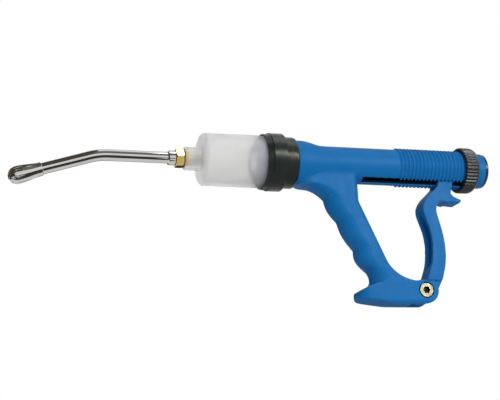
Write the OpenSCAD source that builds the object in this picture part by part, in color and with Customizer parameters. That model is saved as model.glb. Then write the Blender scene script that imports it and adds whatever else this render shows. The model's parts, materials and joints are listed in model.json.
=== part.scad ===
// Livestock drencher: a hand-squeezed dosing gun with a translucent barrel, a pistol grip,
// a pivoted rear lever that drives a hollow plunger, and a bent steel nozzle.
// Millimetres, +Z up. The barrel axis runs along X, with the nozzle towards -X.
// The origin is on the foot's base, midway along the foot.

/* [Axis and pivot] */
// Height of the barrel axis above the foot's base
axis_h = 108.5; // [104:0.5:114]
// Lever pivot behind the foot's middle
pivot_x = 24.5; // [22:0.5:28]
// Rest place of the crosshead's trunnions behind the foot's middle
trunnion_x = 53.5; // [50:0.5:56]

/* [Barrel] */
// Outer diameter of the barrel at its front
barrel_od = 39.3; // [36:0.1:41]
// Growth of the barrel's diameter towards its flange, for release from the mould
barrel_draft = 0.5; // [0:0.1:0.8]
// Wall of the barrel
barrel_wall = 2.6; // [2:0.1:3.5]
// Length of the barrel from its front face to its flange's rear face
barrel_len = 54.2; // [46:0.2:70]
// Thickness of the barrel's front wall
barrel_front_wall = 3; // [2.5:0.1:4]
// Radius of the barrel's front edge
barrel_edge_r = 3; // [1.5:0.1:4]
// Thickness of the flange that the coupling ring clamps
barrel_flange_t = 3; // [2:0.1:4]
// Height of that flange over the barrel
barrel_flange_h = 0.9; // [0.8:0.1:1.6]
// Outer diameter of the neck
neck_od = 17.4; // [16:0.2:19]
// Length of the neck
neck_len = 12.2; // [9.5:0.1:14]
// Bore of the neck
neck_bore = 10.4; // [9.6:0.1:11]
// Hole in the outlet valve's seat
outlet_hole_d = 5; // [4:0.1:5.6]
// Diameter of the outlet valve's ball
outlet_ball_d = 7; // [6.6:0.1:8]

/* [Coupling] */
// Wall of the coupling ring over the barrel's flange
ring_wall = 1.15; // [1:0.05:4]
// Thickness of the ring's front lip
ring_lip_t = 4; // [3:0.1:5]
// Height of the lip's small front edge over the barrel
ring_lip_h = 1.05; // [0.8:0.05:2]
// Length of the ring's front slope
ring_chamfer = 4.3; // [2:0.1:6]
// Radius of the ring's rear edge
ring_edge_r = 1; // [0.5:0.1:1]
// Thickness of the gasket behind the barrel
gasket_t = 1.2; // [0.8:0.1:2]
// Length of the seat's threaded flange
seat_thread_len = 7.6; // [7:0.1:12]
// Diameter of the seat's collar behind the ring
collar_od = 39.2; // [37:0.2:41]
// Length of that collar
collar_len = 9.5; // [8:0.1:12]
// Diameter of the seat's spigot in the body
spigot_d = 27; // [25:0.2:28]
// Length of that spigot
spigot_len = 14; // [11:0.5:16]
// Depth of the recess that takes the piston's skirt
seat_recess = 6.5; // [5:0.1:7.5]
// Outer diameter of the rod guide
guide_d = 18; // [15:0.2:20]

/* [Body] */
// Body's front face ahead of the foot's middle
body_front = 73; // [70:0.5:76]
// Diameter of the body's front bell
bell_d = 35; // [34:0.2:38]
// Length of the bell's parallel front
bell_straight = 5; // [3:0.5:8]
// Length over which the bell narrows to the tube
bell_taper = 19; // [14:0.5:24]
// Outer diameter of the tube
tube_od = 28.4; // [28:0.2:31]
// Wall of the tube
tube_wall = 3; // [2.4:0.1:3.4]
// Tube's rear end behind the foot's middle
tube_end = 83.5; // [82:0.5:90]
// Start of the dose thread behind the foot's middle
thread_start = 11.4; // [8:0.2:16]
// Pitch of the dose thread's ribs
thread_pitch = 3.2; // [2.8:0.1:4]
// Height of the thread's ribs
thread_h = 1.1; // [0.6:0.1:1.2]
// Count of the thread's ribs
thread_count = 20; // [16:1:20]
// Start of the two lever slots ahead of the foot's middle
slot_front = 19.5; // [14:0.5:22]
// Rear end of the lever slots behind the foot's middle
slot_rear = 74; // [73:0.5:75]
// Room in the slots beside the lever's prongs
slot_room = 1.2; // [0.5:0.1:2.4]
// Width of the strip between the two slots
slot_strip_w = 6.2; // [5:0.2:7]

/* [Grip] */
// Thickness of the grip
grip_t = 22.6; // [20:0.2:24]
// Depth of the chin below the axis
chin_drop = 17.7; // [17.6:0.1:21]
// Drop of the uppermost finger notch below the axis
finger_drop = 27.3; // [25:0.1:29]
// Place of the uppermost notch ahead of the foot's middle
finger_top_x = 49.7; // [48:0.1:52]
// Place of the lowest notch ahead of the foot's middle
finger_low_x = 18.6; // [17:0.1:20]
// Height of the lowest notch above the base
finger_low_z = 25.3; // [24:0.1:27]
// Height of the uppermost ridge between two notches
ridge_top_h = 17.3; // [15:0.1:20]
// Height of the lowest ridge
ridge_low_h = 16.6; // [15:0.1:20]
// Swell of the grip between two finger notches
finger_swell = 2; // [1:0.1:4]
// Swell of the lowest ridge, over the ring finger
ridge_low_swell = 3.4; // [1:0.1:4]
// Depth of the little finger's hollow, ahead of the foot's middle
hollow_x = 16.3; // [15:0.1:18]
// Height of that hollow above the base
hollow_z = 18.6; // [17:0.1:20]
// Radius between the hollow and the toe
hollow_r = 5.5; // [4:0.1:6.5]
// Grip's upper rear edge ahead of the foot's middle
grip_back_x = 22.7; // [21:0.1:25]
// Lean of the grip's rear edge, in run over rise
grip_back_lean = 0.435; // [0.4:0.005:0.46]
// Length of the round at the grip's front
grip_front_round = 10; // [6:0.5:12]
// Length of the round at the grip's rear
grip_back_round = 6; // [3:0.5:8]

/* [Foot] */
// Width of the foot over its cheeks
foot_w = 22.8; // [22:0.2:26]
// Radius of the pivot boss, which stands on the base
boss_r = 10; // [9:0.2:11]
// Toe's reach ahead of the foot's middle
toe_x = 28.5; // [26:0.5:32]
// Radius of the toe
toe_r = 3.7; // [3:0.1:4.4]
// Radius of the toe's corners, seen from above
toe_side_r = 8; // [3:0.5:9]
// Lift of the toe's underside over the base
toe_lift = 3; // [0.5:0.1:4]
// Slope of the toe's top
toe_slope = 26; // [20:1:35]
// Height of the cheeks' flat top
foot_top = 17.2; // [15.6:0.2:19]
// Front end of the base's flat ahead of the foot's middle
base_front = 2; // [1:0.5:14]
// Radius of the foot's lower edges
foot_edge_r = 2.4; // [1:0.1:3]

/* [Lever] */
// Width of the lever
lever_w = 15.2; // [14.6:0.1:15.4]
// Width of the lever's tongue between the foot's cheeks
tongue_w = 13.2; // [11:0.1:13.6]
// Depth of the lever at its belly
lever_depth = 12; // [11:0.1:12.6]
// Length of a prong along X
prong_len = 12; // [11:0.2:12.6]
// Width of the channel in the lever's front
channel_w = 9; // [6:0.2:10]
// Depth of that channel
channel_depth = 7; // [4:0.2:8]
// Diameter of the crosshead's trunnions
trunnion_d = 5; // [4:0.1:5.4]

/* [Pivot screw] */
// Shank diameter
pivot_d = 6; // [5:0.1:7]
// Head diameter
pivot_head_d = 10.4; // [9.6:0.1:11]
// Head height
pivot_head_h = 2.6; // [2:0.1:3]
// Socket width across flats
pivot_socket = 5; // [4:0.5:5.5]

/* [Plunger] */
// Length of the piston
piston_len = 18; // [17:0.5:24]
// Diameter of the hollow rod
rod_d = 10; // [9:0.1:11]
// Wall of the hollow rod
rod_wall = 2; // [1.5:0.1:2.4]
// Diameter of the inlet valve's ball
inlet_ball_d = 8; // [7.4:0.1:8.6]
// Wire of the return spring
spring_wire = 1.6; // [1.2:0.1:2]
// Outer diameter of the return spring
spring_od = 18.8; // [17:0.2:20]
// Turns of the return spring
spring_turns = 14; // [10:1:18]
// Diameter of the hose tail
tail_d = 8; // [7:0.2:9]
// Length of the hose tail
tail_len = 6; // [4:0.5:6.5]

/* [Dose nut and end cap] */
// Diameter of the dose nut over its ribs
nut_od = 36.2; // [36:0.2:42]
// Length of the dose nut
nut_len = 12.2; // [10:0.2:13]
// Front face of the dose nut behind the foot's middle
nut_x = 64.4; // [63.6:0.2:66]
// Grip ribs round the dose nut
nut_ribs = 40; // [28:2:44]
// Thickness of the dose washer
washer_t = 1.6; // [1.2:0.1:2]
// Flange diameter of the end cap
cap_d = 26.8; // [26:0.2:28]
// Flange thickness of the end cap
cap_t = 2.4; // [2:0.2:4]
// Length of the end cap's plug
cap_plug = 7; // [5:0.5:7.5]
// Bore of the end cap, which the supply hose passes
hose_bore = 12.5; // [11:0.1:14]

/* [Nozzle] */
// Outer diameter of the nozzle tube
nozzle_od = 8.5; // [8:0.1:9]
// Bore of the nozzle tube
nozzle_bore = 5.5; // [4:0.1:6]
// Corner of the nozzle's bend ahead of the foot's middle
nozzle_bend_x = 221; // [210:1:230]
// Angle of the nozzle's bend
nozzle_bend = 17; // [10:1:30]
// Bend radius of the nozzle
nozzle_bend_r = 50; // [30:1:70]
// Length from the bend's corner to the tip's end
nozzle_reach = 67; // [50:1:90]
// Length of the rounded tip
tip_len = 24.5; // [20:0.5:30]
// Greatest diameter of the tip
tip_d = 13.2; // [12:0.2:15]
// Diameter of the tip's sleeve end
tip_sleeve_d = 10; // [9.8:0.1:11]
// Diameter of the collar on the nozzle
nozzle_collar_d = 10.8; // [10:0.2:12]
// Length of that collar
nozzle_collar_len = 6; // [4:0.2:8]
// Adaptor hexagon across flats
hex_af = 13; // [12.6:0.2:15]
// Length of the hexagon
hex_len = 5.8; // [5:0.2:9]
// Thickness of the adaptor's washer
adaptor_washer_t = 0.8; // [0.6:0.1:1.6]

/* [Clearances] */
// Running clearance of a pivot or guide on its radius
run_gap = 0.05; // [0.03:0.01:0.08]
// Gap between parts that move past each other
move_gap = 0.3; // [0.25:0.05:0.4]
// Gap beside the lever's prongs and tongue
side_gap = 0.45; // [0.35:0.05:0.6]
// Play of the trunnions in the fork's notches on each side
fork_play = 0.65; // [0.55:0.05:0.75]
// Assembly gap between fixed parts on their radius
seat_gap = 0.1; // [0.05:0.05:0.2]

/* [Hidden] */
$fn = 72;

// Overshoot of a cut past the face that it opens
cut = 1;

// Stations along the axis, from the body's front face towards the nozzle
seat_rear_x = -body_front;
collar_front_x = seat_rear_x - collar_len;
seat_front_x = collar_front_x - seat_thread_len;
flange_rear_x = seat_front_x - gasket_t;
flange_front_x = flange_rear_x - barrel_flange_t;
ring_front_x = flange_front_x - seat_gap - ring_lip_t;
barrel_front_x = flange_rear_x - barrel_len;
barrel_inner_x = barrel_front_x + barrel_front_wall;
neck_front_x = barrel_front_x - neck_len;
hex_rear_x = neck_front_x - adaptor_washer_t;
hex_front_x = hex_rear_x - hex_len;
nozzle_collar_x = hex_front_x - nozzle_collar_len;

// Barrel and coupling radii
barrel_r = barrel_od / 2;
barrel_rear_r = barrel_r + barrel_draft / 2;
bore_r = barrel_r - barrel_wall;
flange_r = barrel_rear_r + barrel_flange_h;
barrel_inner_round = 1.5;
neck_bevel = 0.6;
thread_r = flange_r - seat_gap;
ring_bore_r = flange_r + seat_gap;
ring_r = ring_bore_r + ring_wall;
ring_bevel = 0.5;
collar_edge_r = 2;
gasket_inset = 0.4;

// Outlet valve: the ball rests on the hole in the front wall and lifts towards the nozzle
outlet_lip = 1;
outlet_seat_x = barrel_inner_x - outlet_lip;
outlet_ball_r = outlet_ball_d / 2;
outlet_ball_x = outlet_seat_x - sqrt(pow(outlet_ball_r, 2) - pow(outlet_hole_d / 2, 2)) - run_gap;
outlet_room = 7.4;
adaptor_spigot_len = neck_len - outlet_room;
adaptor_end_x = hex_rear_x + adaptor_washer_t + adaptor_spigot_len;
outlet_spring_wire = 0.6;
outlet_spring_r = 2.7;
outlet_spring_turns = 2;
outlet_contact = sqrt(pow(outlet_ball_r, 2) - pow(outlet_spring_r, 2));

// Body radii and the bore that the crosshead runs in
tube_r = tube_od / 2;
tube_bore_r = tube_r - tube_wall;
thread_crest_r = tube_r + thread_h;
// Shares of the pitch that a rib takes at its crest and at its foot
rib_crest_share = 0.3;
rib_foot_share = 0.62;
bell_r = bell_d / 2;
spigot_r = spigot_d / 2;
spigot_end_x = seat_rear_x + spigot_len;
slot_side_y = lever_w / 2 + slot_room;
slot_top_drop = 5;
tail_step = 0.4;
tube_tail_r = tube_r - tail_step;

// Finger notches, evenly spaced from the chin to the little finger's hollow
notch_top_z = axis_h - finger_drop;
notches = [finger_low_z, finger_low_z + ridge_low_h, notch_top_z - ridge_top_h, notch_top_z];
notch_lean = (finger_top_x - finger_low_x) / (notch_top_z - finger_low_z);
chin_z = axis_h - chin_drop;
// The grip's sides widen into the tube in a fillet, which ends a little under the tube's skin
fillet_r = 12;
fillet_sink = 0.3;
fillet_steps = 5;
fillet_drop = sqrt(pow(tube_r + fillet_r, 2) - pow(grip_t / 2 + fillet_r, 2)) - fillet_sink;
fillet_z = axis_h - fillet_drop;
grip_top_z = axis_h - fillet_drop * tube_r / (tube_r + fillet_r);
grip_low_z = 9;
hollow_end_z = hollow_z - hollow_r * cos(toe_slope);
back_knee_drop = 30;
back_knee_z = axis_h - back_knee_drop;
flare_z = 33;
flare_h = flare_z - foot_top;
flare_run = 19;
bump_steps = 8;
// The chin's underside falls slowly at first, by this power of the way back
chin_power = 2.5;
round_steps = 6;

// Lever turned about its pivot: angles are measured from straight up, towards the rear
lever_rise = axis_h - boss_r;
trunnion_run = trunnion_x - pivot_x;
rest_tilt = atan(trunnion_run / lever_rise);
trunnion_reach = norm([trunnion_run, lever_rise]);
prong_cover = 1.8;
prong_top = trunnion_reach + prong_cover;
notch_w = trunnion_d + 2 * fork_play;
notch_floor_gap = 0.8;
notch_floor = lever_rise - trunnion_d / 2 - notch_floor_gap;
head_gap = 0.6;
head_reach = lever_rise - thread_crest_r - head_gap;
prong_gap = slot_strip_w + 2 * side_gap;
clevis_w = tongue_w + 2 * side_gap;
tongue_step = 1;
tongue_r = boss_r - tongue_step;
tongue_gap = 1;
// The lever's shoulders rise towards the front, to clear the foot over the whole swing
shoulder_rise = 20.5;
tongue_lap = 9;
clevis_end_gap = 1;
clevis_x = pivot_x - tongue_r - clevis_end_gap;

// Plunger stations at rest, from the seat's recess towards the nozzle and the tail
recess_floor_x = seat_front_x + seat_recess;
piston_gap = 2;
piston_rear_x = recess_floor_x - piston_gap;
piston_front_x = piston_rear_x - piston_len;
piston_r = bore_r - move_gap;
seal_r = bore_r - run_gap;
piston_bevel = barrel_inner_round + move_gap;
seal_w = 2.6;
seal_depth = 2.2;
seal_lip = 0.5;
seal_inset = 5;
seal_x = [piston_front_x + seal_inset, piston_rear_x - seal_inset - seal_w];
cage_t = 3;
cage_r = 8;
cage_hole_r = 1.2;
cage_port_r = 1.4;
cage_port_ring = 4.4;
chamber_gap = 1;
inlet_ball_r = inlet_ball_d / 2;
inlet_hole_r = 2.6;
chamber_len = 9;
inlet_seat_x = piston_front_x + cage_t + chamber_len;
inlet_ball_x = inlet_seat_x - sqrt(pow(inlet_ball_r, 2) - pow(inlet_hole_r, 2)) - run_gap;
inlet_web = 1.5;
rod_r = rod_d / 2;
rod_front_x = inlet_seat_x + inlet_web;
guide_len = 22;
crosshead_r = tube_bore_r - move_gap;
crosshead_fore = 14;
crosshead_aft = 15;
crosshead_front_x = trunnion_x - crosshead_fore;
crosshead_rear_x = trunnion_x + crosshead_aft;
crosshead_web = slot_strip_w;
// Room for the prongs beside the web, over the lever's whole swing
prong_room_fore = 6.9;
prong_room_aft = 9.3;
prong_room_top = 7.8;
prong_room_rake = 0.9;
prong_room_sweep = 4.5;
rod_socket = 6.5;
rod_rear_x = crosshead_front_x + rod_socket;
flow_r = 1.8;
tail_seat = 4.5;
tail_barb_len = 3;
tail_barb_rise = 0.6;
tail_barb_h = 0.5;
tail_front_x = crosshead_rear_x - tail_seat;
tail_rear_x = crosshead_rear_x + tail_len;
spring_washer_t = 1.2;
spring_front_x = spigot_end_x + spring_washer_t;
spring_r = (spring_od - spring_wire) / 2;
// Gap between a coil's end and the face that it bears on
coil_rest = 0.15;

// Pivot screw: its head lies a little under the cheek's face
head_sink = 0.3;
head_room = 0.9;
socket_depth = 1.8;
screw_end_gap = 1;
driver_slot_w = 1.2;
driver_slot_depth = 0.6;

// Dose nut
nut_r = nut_od / 2;
nut_rib_r = 0.95;
nut_bore_r = thread_crest_r + move_gap;
nut_lip = 1.6;
washer_r = nut_r - nut_lip;
cap_plug_r = tube_bore_r - seat_gap;
cap_bevel = 0.8;

// Nozzle
nozzle_r = nozzle_od / 2;
bend_tangent = nozzle_bend_r * tan(nozzle_bend / 2);
// The tube's wall thins a little in the bend, and each straight leg laps the bend's end
bend_loss = 0.03;
bend_lap = 0.8;
nozzle_socket = 5.5;
nozzle_root_x = hex_front_x + nozzle_socket;
tip_start = nozzle_reach - tip_len;
tip_socket = 12;
tip_outlet_r = 2;
tip_bevel = 0.4;
hex_turn = 20;
hex_bevel = 0.8;
washer_edge = 0.6;

// Places children on the barrel axis with their Z along +X
module on_axis(x) {
    translate([x, 0, axis_h]) rotate([0, 90, 0]) children();
}

// A ring or disc on the barrel axis between two stations
module ring_x(x0, x1, r_out, r_in = 0) {
    on_axis(x0) difference() {
        cylinder(h = x1 - x0, r = r_out);
        if (r_in > 0) translate([0, 0, -cut]) cylinder(h = x1 - x0 + 2 * cut, r = r_in);
    }
}

// A solid of revolution on the barrel axis from [radius, x] points
module revolve_x(points) {
    on_axis(0) rotate_extrude() polygon(points);
}

// A plate across Y from an outline of [x, z] points
module plate_y(width) {
    rotate([90, 0, 0]) linear_extrude(width, center = true) children();
}

// A pin along Y at a place in the XZ plane
module pin_y(x, z, r, y0, y1) {
    translate([x, y1, z]) rotate([90, 0, 0]) cylinder(h = y1 - y0, r = r);
}

// A smooth curve through points, with some steps between each two
function curve_point(a, b, c, d, t) =
    b + 0.5 * t * (c - a + t * (2 * a - 5 * b + 4 * c - d + t * (3 * (b - c) + d - a)));
function curve(p, steps) = [
    for (i = [0 : len(p) - 2]) for (s = [0 : steps - 1])
        curve_point(p[max(i - 1, 0)], p[i], p[i + 1], p[min(i + 2, len(p) - 1)], s / steps),
    p[len(p) - 1]];

// A coil of round wire along X, as one tube with eight rings a turn and six sides
coil_rings = 8;
coil_sides = 6;
function coil_centre(x0, x1, r, turns, k) =
    let (u = k / (turns * coil_rings), a = 360 * k / coil_rings)
    [x0 + (x1 - x0) * u, r * cos(a), axis_h + r * sin(a)];
function coil_ring(x0, x1, r, turns, wire, k) =
    let (a = 360 * k / coil_rings, c = coil_centre(x0, x1, r, turns, k))
    [for (s = [0 : coil_sides - 1])
        let (b = 360 * s / coil_sides)
        c + wire / 2 * (cos(b) * [0, cos(a), sin(a)] + sin(b) * [1, 0, 0])];
module coil(x0, x1, r, turns, wire) {
    rings = turns * coil_rings;
    points = [for (k = [0 : rings]) each coil_ring(x0, x1, r, turns, wire, k)];
    sides = [for (k = [0 : rings - 1]) for (s = [0 : coil_sides - 1])
        let (a = k * coil_sides, n = (s + 1) % coil_sides)
        each [[a + s, a + n, a + coil_sides + s], [a + n, a + coil_sides + n, a + coil_sides + s]]];
    front = [for (s = [1 : coil_sides - 2]) [0, s + 1, s]];
    last = rings * coil_sides;
    rear = [for (s = [1 : coil_sides - 2]) [last, last + s, last + s + 1]];
    polyhedron(points, concat(sides, front, rear));
    gap = min([for (i = [0 : rings]) for (j = [i + 5 : 1 : min(i + 12, rings)])
        norm(coil_centre(x0, x1, r, turns, i) - coil_centre(x0, x1, r, turns, j))]) - wire;
    echo(coil_least_gap = gap);
}

// Nozzle, from the tip back to the adaptor

// Places children on the nozzle's front leg, with their Z running towards the tip
module on_nozzle(s) {
    translate([-nozzle_bend_x, 0, axis_h]) rotate([0, -90 - nozzle_bend, 0]) translate([0, 0, s]) children();
}

module nozzle_tip() {
    crown = tip_len - tip_d / 2;
    color("silver") on_nozzle(tip_start) difference() {
        rotate_extrude() polygon(concat(
            [[0, 0], [tip_sleeve_d / 2 - tip_bevel, 0], [tip_sleeve_d / 2, tip_bevel]],
            [for (u = [0.2 : 0.2 : 0.8])
                [tip_sleeve_d / 2 + (tip_d - tip_sleeve_d) / 2 * (1 - cos(180 * u)) / 2, crown * u]],
            [for (a = [0 : 10 : 90]) [tip_d / 2 * cos(a), crown + tip_d / 2 * sin(a)]]));
        translate([0, 0, -cut]) cylinder(h = tip_socket + cut, r = nozzle_r);
        cylinder(h = tip_len + cut, r = tip_outlet_r);
    }
}

module nozzle_ring(loss) {
    difference() {
        circle(r = nozzle_r - loss);
        circle(r = nozzle_bore / 2 + loss);
    }
}

module nozzle_tube() {
    bend_end_x = -nozzle_bend_x + bend_tangent - bend_lap;
    leg_start = bend_tangent - bend_lap;
    color("silver") union() {
        on_axis(bend_end_x) linear_extrude(nozzle_root_x - bend_end_x) nozzle_ring(0);
        translate([bend_end_x + bend_lap, 0, axis_h - nozzle_bend_r]) rotate([90, 0, 0]) rotate([0, 0, 90])
            rotate_extrude(angle = nozzle_bend) translate([nozzle_bend_r, 0]) nozzle_ring(bend_loss);
        on_nozzle(leg_start) linear_extrude(tip_start + tip_socket - leg_start) nozzle_ring(0);
    }
}

module nozzle_collar() {
    r = nozzle_collar_d / 2;
    bevel = 1;
    color("silver") revolve_x([[nozzle_r, nozzle_collar_x], [r - bevel, nozzle_collar_x],
        [r, nozzle_collar_x + bevel], [r, hex_front_x - bevel / 2], [r - bevel / 2, hex_front_x],
        [nozzle_r, hex_front_x]]);
}

module nozzle_adaptor() {
    corner_r = hex_af / 2 / cos(30);
    color("goldenrod") difference() {
        union() {
            intersection() {
                on_axis(hex_front_x) rotate([0, 0, hex_turn]) cylinder(h = hex_len, r = corner_r, $fn = 6);
                revolve_x([[0, hex_front_x], [corner_r - hex_bevel, hex_front_x],
                    [corner_r, hex_front_x + hex_bevel], [corner_r, hex_rear_x - hex_bevel],
                    [corner_r - hex_bevel, hex_rear_x], [0, hex_rear_x]]);
            }
            ring_x(hex_rear_x, adaptor_end_x, neck_bore / 2 - seat_gap);
        }
        on_axis(hex_front_x - cut) cylinder(h = nozzle_socket + cut, r = nozzle_r);
        on_axis(hex_front_x) cylinder(h = adaptor_end_x - hex_front_x + cut, r = nozzle_bore / 2);
    }
}

module adaptor_washer() {
    color("dimgray") ring_x(hex_rear_x, neck_front_x, hex_af / 2 + washer_edge, neck_bore / 2);
}

// Barrel and its outlet valve

module barrel() {
    front_edge = [for (a = [0 : 15 : 90])
        [barrel_r - barrel_edge_r * (1 - sin(a)), barrel_front_x + barrel_edge_r * (1 - cos(a))]];
    color([0.9, 0.92, 0.93, 0.6]) difference() {
        revolve_x(concat(
            [[0, neck_front_x], [neck_od / 2 - neck_bevel, neck_front_x],
                [neck_od / 2, neck_front_x + neck_bevel], [neck_od / 2, barrel_front_x]],
            front_edge,
            [[barrel_rear_r, flange_front_x], [flange_r, flange_front_x], [flange_r, flange_rear_x],
                [0, flange_rear_x]]));
        revolve_x([[0, barrel_inner_x], [bore_r - barrel_inner_round, barrel_inner_x],
            [bore_r, barrel_inner_x + barrel_inner_round], [bore_r, flange_rear_x + cut],
            [0, flange_rear_x + cut]]);
        on_axis(neck_front_x - cut) cylinder(h = outlet_seat_x - neck_front_x + cut, r = neck_bore / 2);
        on_axis(outlet_seat_x - cut) cylinder(h = outlet_lip + 2 * cut, r = outlet_hole_d / 2);
    }
}

module outlet_valve() {
    color("gainsboro") translate([outlet_ball_x, 0, axis_h]) sphere(r = outlet_ball_r);
}

module outlet_spring() {
    clear = outlet_spring_wire / 2 + coil_rest;
    color("gray") coil(adaptor_end_x + clear, outlet_ball_x - outlet_contact - clear,
        outlet_spring_r, outlet_spring_turns, outlet_spring_wire);
}

// Coupling between the barrel and the body

module coupling_ring() {
    rear_x = collar_front_x - move_gap;
    lip_r = barrel_rear_r + seat_gap;
    slope_x = ring_front_x + ring_chamfer;
    rear_edge = [for (a = [0 : 15 : 90])
        [ring_r - ring_edge_r * (1 - cos(a)), rear_x - ring_edge_r * (1 - sin(a))]];
    color([0.1, 0.1, 0.11]) revolve_x(concat(
        [[lip_r, ring_front_x], [barrel_rear_r + ring_lip_h, ring_front_x], [ring_r - ring_bevel, slope_x],
            [ring_r, slope_x + ring_bevel]],
        rear_edge,
        [[ring_bore_r, rear_x], [ring_bore_r, flange_front_x - seat_gap], [lip_r, flange_front_x - seat_gap]]));
}

// Turns children round the barrel axis
module rotate_about_axis(angle) {
    translate([0, 0, axis_h]) rotate([angle, 0, 0]) translate([0, 0, -axis_h]) children();
}

module barrel_gasket() {
    color([0.2, 0.2, 0.2]) ring_x(flange_rear_x, seat_front_x, thread_r, bore_r + gasket_inset);
}

module barrel_seat() {
    collar_r = collar_od / 2;
    rear_edge = [for (a = [0 : 15 : 90])
        [collar_r - collar_edge_r * (1 - cos(a)), seat_rear_x - collar_edge_r * (1 - sin(a))]];
    color([0.12, 0.12, 0.13]) difference() {
        revolve_x(concat(
            [[0, seat_front_x], [thread_r, seat_front_x], [thread_r, collar_front_x],
                [collar_r, collar_front_x]],
            rear_edge,
            [[spigot_r, seat_rear_x], [spigot_r, spigot_end_x], [0, spigot_end_x]]));
        on_axis(seat_front_x - cut) cylinder(h = seat_recess + cut, r = bore_r + seat_gap);
        on_axis(seat_front_x) cylinder(h = spigot_end_x - seat_front_x + cut, r = guide_d / 2);
    }
}

module rod_guide() {
    color("whitesmoke") ring_x(spigot_end_x - guide_len, spigot_end_x, guide_d / 2 - seat_gap / 2,
        rod_r + run_gap);
}

// Body: tube, grip and foot in one moulding

module tube_outer() {
    taper_steps = 10;
    crest = thread_pitch * rib_crest_share;
    foot = thread_pitch * rib_foot_share;
    bell = [for (i = [0 : taper_steps])
        [tube_r + (bell_r - tube_r) * (1 + cos(180 * i / taper_steps)) / 2,
            -body_front + bell_straight + bell_taper * i / taper_steps]];
    ribs = [for (i = [0 : thread_count - 1])
        let (x = thread_start + i * thread_pitch)
        each [[tube_r, x - foot / 2], [thread_crest_r, x - crest / 2],
            [thread_crest_r, x + crest / 2], [tube_r, x + foot / 2]]];
    tail_x = thread_start + (thread_count - 1) * thread_pitch + foot;
    revolve_x(concat([[0, -body_front], [bell_r, -body_front]], bell, ribs,
        [[tube_r, tail_x], [tube_tail_r, tail_x + tail_step], [tube_tail_r, tube_end], [0, tube_end]]));
}

// Swell of the grip's front edge at a height between two notches
function ridge(z) =
    let (place = lookup(z, [for (i = [0 : len(notches) - 1]) [notches[i], i]]))
    (place < 1 ? ridge_low_swell : finger_swell) * abs(sin(180 * place));

// Front edge of the grip at a height: the hollow, the ridges between the notches, then the chin's underside
function grip_front(z) =
    z >= chin_z ? -body_front :
    z >= notch_top_z ? -body_front + (body_front - finger_top_x)
        * pow((chin_z - z) / (chin_z - notch_top_z), 1 / chin_power) :
    z >= finger_low_z ? -finger_low_x - notch_lean * (z - finger_low_z) - ridge(z) :
    z >= hollow_z ? -hollow_x - (finger_low_x - hollow_x) * pow((z - hollow_z) / (finger_low_z - hollow_z), 2) :
    -hollow_x - hollow_r + sqrt(pow(hollow_r, 2) - pow(hollow_z - max(z, hollow_end_z), 2));

// Rear edge of the grip at a height: upright under the tube, leaning, then flaring into the foot
function grip_back(z) =
    let (u = min(1, max(0, (flare_z - max(z, flare_z - flare_h)) / flare_h)))
    -grip_back_x + grip_back_lean * max(0, back_knee_z - z) + flare_run * (1 - sqrt(1 - u * u));

// Half thickness of the grip at a height
function grip_half(z) =
    grip_t / 2 + fillet_r - sqrt(pow(fillet_r, 2) - pow(max(0, z - fillet_z), 2));

// One level outline of the grip, round at the front and the rear
function grip_section(z) =
    let (f = grip_front(z), b = grip_back(z), t = grip_half(z),
        rf = min(grip_front_round, (b - f) / 2), rb = min(grip_back_round, (b - f) / 2))
    concat(
        [for (i = [0 : round_steps + 2]) let (a = -90 + 180 * i / (round_steps + 2))
            [b - rb + rb * cos(a), t * sin(a), z]],
        [for (i = [0 : round_steps + 4]) let (a = 90 - 180 * i / (round_steps + 4))
            [f + rf - rf * cos(a), t * sin(a), z]]);

module grip_loft() {
    levels = concat(
        [grip_low_z],
        [for (i = [round_steps : -1 : 1]) hollow_z - hollow_r * sin((90 - toe_slope) * i / round_steps)],
        [for (i = [0 : round_steps - 1]) hollow_z + (finger_low_z - hollow_z) * i / round_steps],
        [for (n = [0 : len(notches) - 2]) for (i = [0 : bump_steps - 1])
            notches[n] + (notches[n + 1] - notches[n]) * i / bump_steps],
        [for (i = [round_steps : -1 : 0]) chin_z - (chin_z - notch_top_z) * pow(i / round_steps, chin_power)],
        [for (i = [0 : fillet_steps]) fillet_z + (grip_top_z - fillet_z) * i / fillet_steps]);
    sections = [for (z = levels) grip_section(z)];
    n = len(sections[0]);
    top = len(levels) - 1;
    sides = [for (k = [0 : top - 1]) for (s = [0 : n - 1])
        let (a = k * n, m = (s + 1) % n)
        each [[a + s, a + n + s, a + m], [a + m, a + n + s, a + n + m]]];
    floor_face = [[for (s = [0 : n - 1]) s]];
    top_face = [[for (s = [n - 1 : -1 : 0]) top * n + s]];
    polyhedron([for (p = sections) each p], concat(sides, floor_face, top_face));
}

module foot_profile() {
    nose = [-toe_x + toe_r, toe_lift + toe_r];
    arc_steps = 8;
    intersection() {
        union() {
            polygon(concat(
                [for (i = [0 : arc_steps]) let (a = 90 + toe_slope + (180 - toe_slope) * i / arc_steps)
                    nose + toe_r * [cos(a), sin(a)]],
                [[-base_front, 0], [pivot_x, 0], [pivot_x, foot_top], [-hollow_x / 2, foot_top],
                    [grip_front(hollow_end_z), hollow_end_z]]));
            translate([pivot_x, boss_r]) circle(r = boss_r);
        }
        translate([-toe_x - cut, -cut]) square([toe_x + pivot_x + 2 * boss_r, foot_top + cut]);
    }
}

module rounded_square(x0, x1, y, r) {
    for (x = [x0 + r, x1 - r]) for (s = [-1, 1]) translate([x, s * (y - r)]) circle(r = r);
    translate([x0 + r, -y]) square([x1 - x0 - 2 * r, 2 * y]);
    translate([x0, -y + r]) square([x1 - x0, 2 * (y - r)]);
}

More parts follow.
